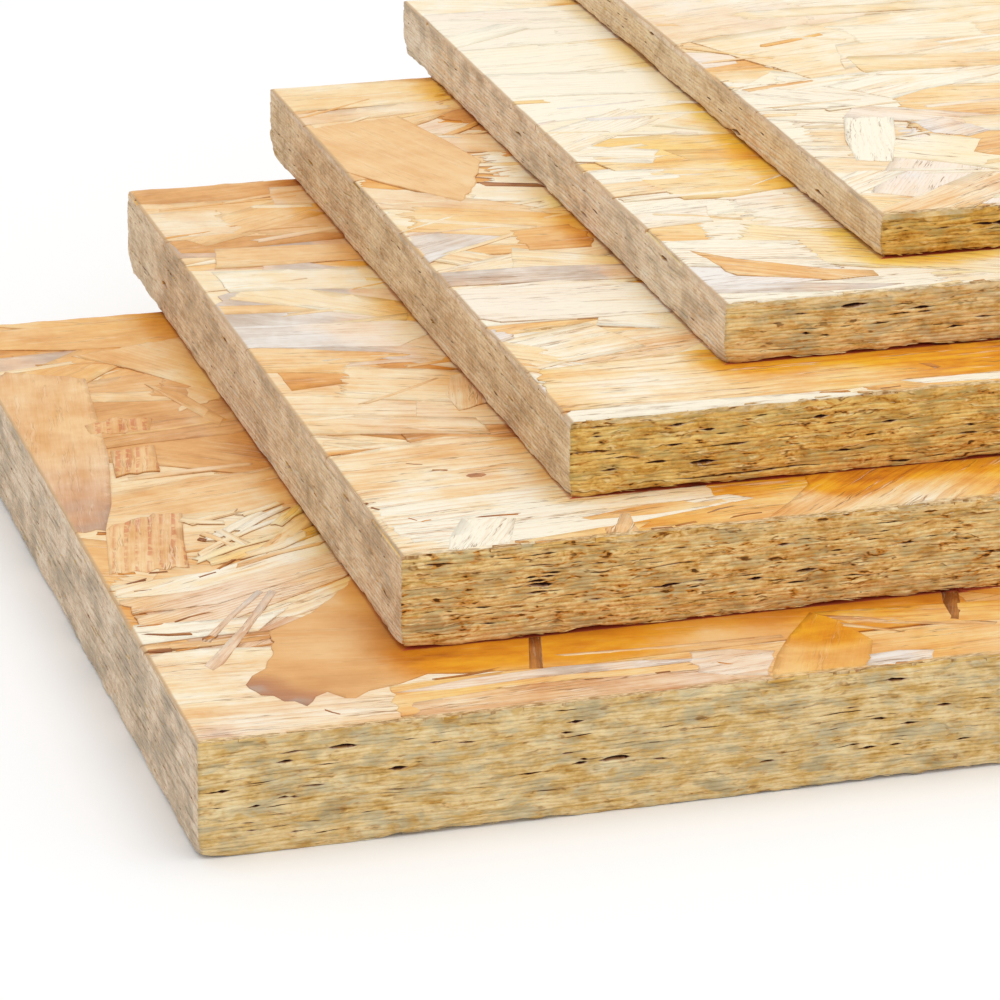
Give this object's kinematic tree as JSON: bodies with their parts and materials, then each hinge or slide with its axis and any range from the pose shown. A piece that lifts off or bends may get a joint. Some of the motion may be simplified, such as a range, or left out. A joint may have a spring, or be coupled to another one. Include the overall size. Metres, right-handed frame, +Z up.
{
  "type": "stack of osb panels",
  "caption": "Fanned stack of square-edged oriented strand board panels of different thickness, thickest at the bottom, each set back and to one side of the panel it lies on.",
  "frame": {"origin": "centre of the stack's footprint, on the surface that the stack lies on", "axes": "+X along the panels' length and their face strands, towards the side that the upper panels are pushed to; +Y from the front edges to the back edges; +Z up through the panels"},
  "size_m": [0.4556, 0.307, 0.076],
  "materials": {
    "strand_board": "pressed and sanded pine strands, pale cream to honey with orange and brown strands, unsealed sawn edges"
  },
  "bodies": {
    "root": {"bottom_panel": "strand_board", "second_panel": "strand_board", "third_panel": "strand_board", "fourth_panel": "strand_board", "top_panel": "strand_board"}
  },
  "joints": []
}
